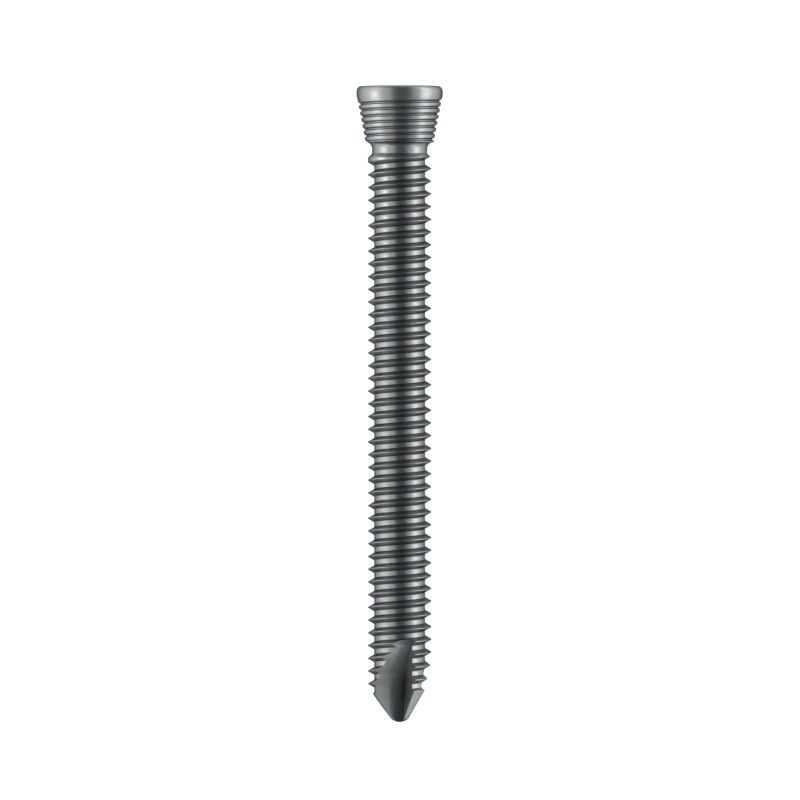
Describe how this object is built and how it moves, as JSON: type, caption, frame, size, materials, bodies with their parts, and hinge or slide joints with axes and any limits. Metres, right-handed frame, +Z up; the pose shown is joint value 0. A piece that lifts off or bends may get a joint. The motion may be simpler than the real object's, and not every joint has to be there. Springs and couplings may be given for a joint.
{
  "type": "orthopedic bone screw",
  "caption": "Self-tapping locking bone screw with a threaded conical head, a hexagonal socket, a fully threaded shank and a fluted point.",
  "frame": {"origin": "on the ground, under the middle of the screw's bounding box as it lies on its side", "axes": "+Y towards the head, +Z up; the screw's own axis lies in the YZ plane and rises about 1.1 degrees towards the head"},
  "size_m": [0.0068, 0.05, 0.0068],
  "materials": {
    "implant_steel": "polished"
  },
  "bodies": {
    "root": {"bone_screw": "implant_steel"}
  },
  "joints": []
}
